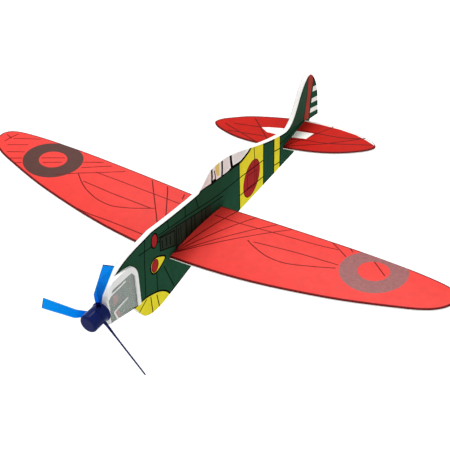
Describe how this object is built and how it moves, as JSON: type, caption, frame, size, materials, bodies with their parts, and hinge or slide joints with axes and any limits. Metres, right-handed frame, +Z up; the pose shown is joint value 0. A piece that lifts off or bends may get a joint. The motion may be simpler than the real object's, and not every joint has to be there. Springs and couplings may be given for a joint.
{
  "type": "foam glider aeroplane",
  "caption": "Toy glider of printed foam boards with a slotted wing and tailplane, a translucent nose clip and a free-spinning blue propeller.",
  "frame": {"origin": "centre of the plane's footprint, on the level of the belly scoop's lowest point", "axes": "+Z up, -Y towards the nose, +X towards the port wing"},
  "size_m": [0.2058, 0.163, 0.0473],
  "materials": {
    "white_foam": "matte",
    "green_print": "satin",
    "red_print": "satin",
    "clear_clip": "frosted translucent",
    "blue_plastic": "gloss",
    "pin_steel": "bright"
  },
  "bodies": {
    "airframe": {"fuselage_foam": "white_foam", "fuselage_print_port": "green_print", "fuselage_print_starboard": "green_print", "wing_foam": "white_foam", "wing_print": "red_print", "tailplane_foam": "white_foam", "tailplane_print": "red_print", "nose_clip": "clear_clip", "axle_pin": "pin_steel"},
    "spinning_propeller": {"propeller": "blue_plastic", "spinner_cap": "blue_plastic"}
  },
  "joints": [
    {"name": "propeller_spin", "type": "hinge", "parent": "airframe", "child": "spinning_propeller", "pos_m": [0, -0.0751, 0.0214], "axis": [0, -1, 0], "continuous": true}
  ]
}
